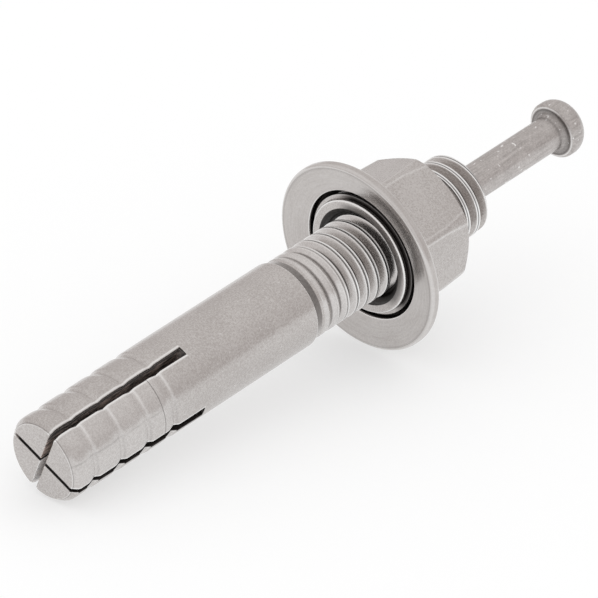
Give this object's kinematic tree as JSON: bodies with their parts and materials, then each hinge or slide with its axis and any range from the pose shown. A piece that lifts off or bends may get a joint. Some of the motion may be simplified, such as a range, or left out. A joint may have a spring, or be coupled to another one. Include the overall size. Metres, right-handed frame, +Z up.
{
  "type": "nail anchor",
  "caption": "Hammer-set nail anchor: slotted, grooved stud with a threaded end, a headed nail in its bore, and a hex nut with a captive dished washer that clamps a fixture to masonry.",
  "frame": {"origin": "on the floor, under the middle of the bounding box of the anchor as it lies at rest", "axes": "+X along the anchor from its slotted tip towards the nail's head, level with the floor; +Z up"},
  "size_m": [0.0808, 0.0222, 0.0221],
  "materials": {
    "anchor_body": "satin, fine grain",
    "drive_pin": "satin, drawn wire",
    "hex_nut": "satin, fine grain",
    "captive_washer": "satin, fine grain"
  },
  "bodies": {
    "anchor": {"anchor_body": "anchor_body"},
    "washer": {"captive_washer": "captive_washer"},
    "nut": {"hex_nut": "hex_nut"},
    "pin": {"drive_pin": "drive_pin"}
  },
  "joints": [
    {"name": "washer_slide", "type": "slide", "parent": "anchor", "child": "washer", "axis": [0.991, 0, 0.1341], "range_m": [-0.00476, 0.00556]},
    {"name": "nut_turn", "type": "hinge", "parent": "washer", "child": "nut", "pos_m": [0.01257, 0, 0.01179], "axis": [0.991, 0, 0.1341], "range_deg": [-1080, 1260]},
    {"name": "pin_drive", "type": "slide", "parent": "anchor", "child": "pin", "axis": [-0.991, 0, -0.1341], "range_m": [0, 0.01535]}
  ],
  "couplings": [
    {"joint": "washer_slide", "follows": "nut_turn", "m_per_rad": 0.00025266}
  ]
}
